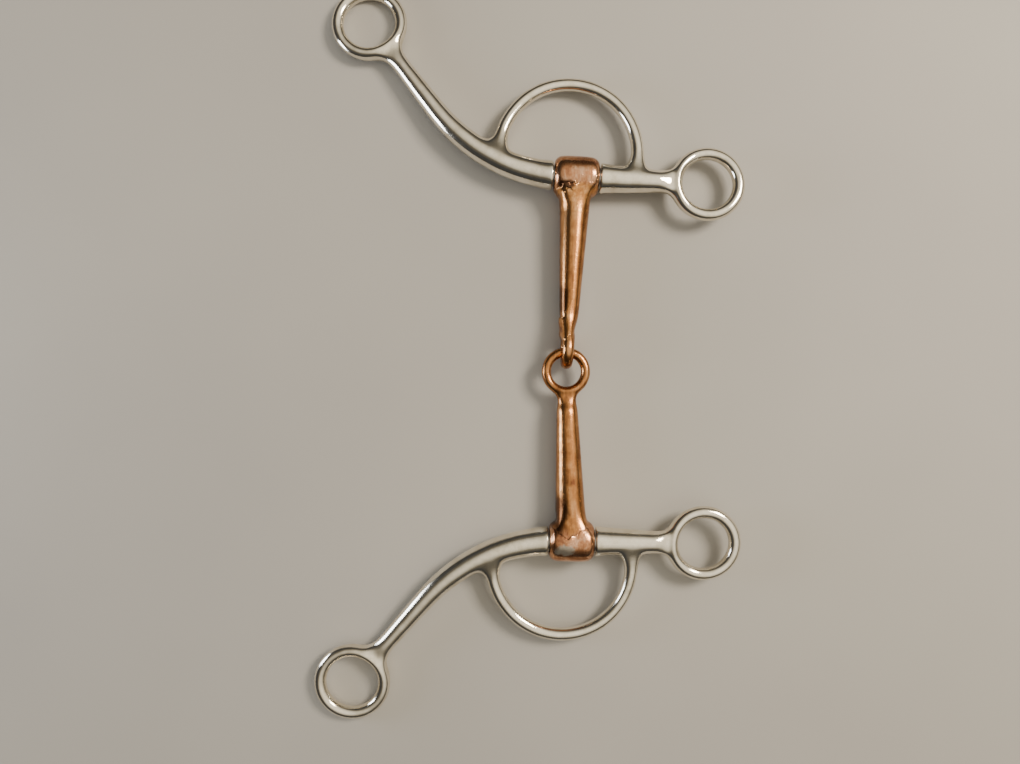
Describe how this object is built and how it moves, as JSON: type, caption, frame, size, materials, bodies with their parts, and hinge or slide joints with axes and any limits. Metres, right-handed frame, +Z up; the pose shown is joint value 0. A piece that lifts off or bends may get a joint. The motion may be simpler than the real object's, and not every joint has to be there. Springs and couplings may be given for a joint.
{
  "type": "snaffle bit",
  "caption": "Loose-cheek jointed snaffle bit: copper mouthpiece of two linked cannons that turn on steel cheeks with a headstall ring, a dee loop and a long curved shank to a rein ring.",
  "frame": {"origin": "on the table, under the middle of the whole bit as it lies flat", "axes": "+X along the spindles towards the headstall rings, +Y towards the left cheek, +Z up from the table"},
  "size_m": [0.164, 0.2816, 0.0154],
  "materials": {
    "polished_steel": "polished stainless steel, bright, with fine wear scratches",
    "steel_pin": "turned steel, worn smooth",
    "copper": "copper with a golden-brown patina, smooth, with bright streaks",
    "worn_copper": "dull pinkish-brown copper, scuffed",
    "braze": "rough brazed seam with a bright ragged lip"
  },
  "bodies": {
    "right_mouth": {"right_cannon": "copper", "right_barrel": "worn_copper", "right_flat_eye": "copper", "right_barrel_braze": "braze"},
    "left_mouth": {"left_cannon": "copper", "left_barrel": "worn_copper", "left_upright_eye": "copper", "left_barrel_braze": "braze", "left_eye_braze": "braze"},
    "left_cheek": {"left_spindle": "steel_pin", "left_purchase_bar": "polished_steel", "left_headstall_ring": "polished_steel", "left_shank": "polished_steel", "left_rein_ring": "polished_steel", "left_dee_loop": "polished_steel", "left_purchase_weld": "polished_steel", "left_shank_weld": "polished_steel"},
    "right_cheek": {"right_spindle": "steel_pin", "right_purchase_bar": "polished_steel", "right_headstall_ring": "polished_steel", "right_shank": "polished_steel", "right_rein_ring": "polished_steel", "right_dee_loop": "polished_steel", "right_purchase_weld": "polished_steel", "right_shank_weld": "polished_steel"}
  },
  "joints": [
    {"name": "mouth_fold", "type": "hinge", "parent": "right_mouth", "child": "left_mouth", "pos_m": [0.01435, -0.00042, 0.0077], "axis": [0.9986, -0.0523, 0], "range_deg": [-60, 60]},
    {"name": "left_cheek_pivot", "type": "hinge", "parent": "left_mouth", "child": "left_cheek", "pos_m": [0.01784, 0.06609, 0.0077], "axis": [0.9986, -0.0523, 0], "range_deg": [-100, 100]},
    {"name": "right_cheek_pivot", "type": "hinge", "parent": "right_mouth", "child": "right_cheek", "pos_m": [0.01598, -0.07178, 0.0077], "axis": [0.9998, -0.0175, 0], "range_deg": [-100, 100]}
  ]
}
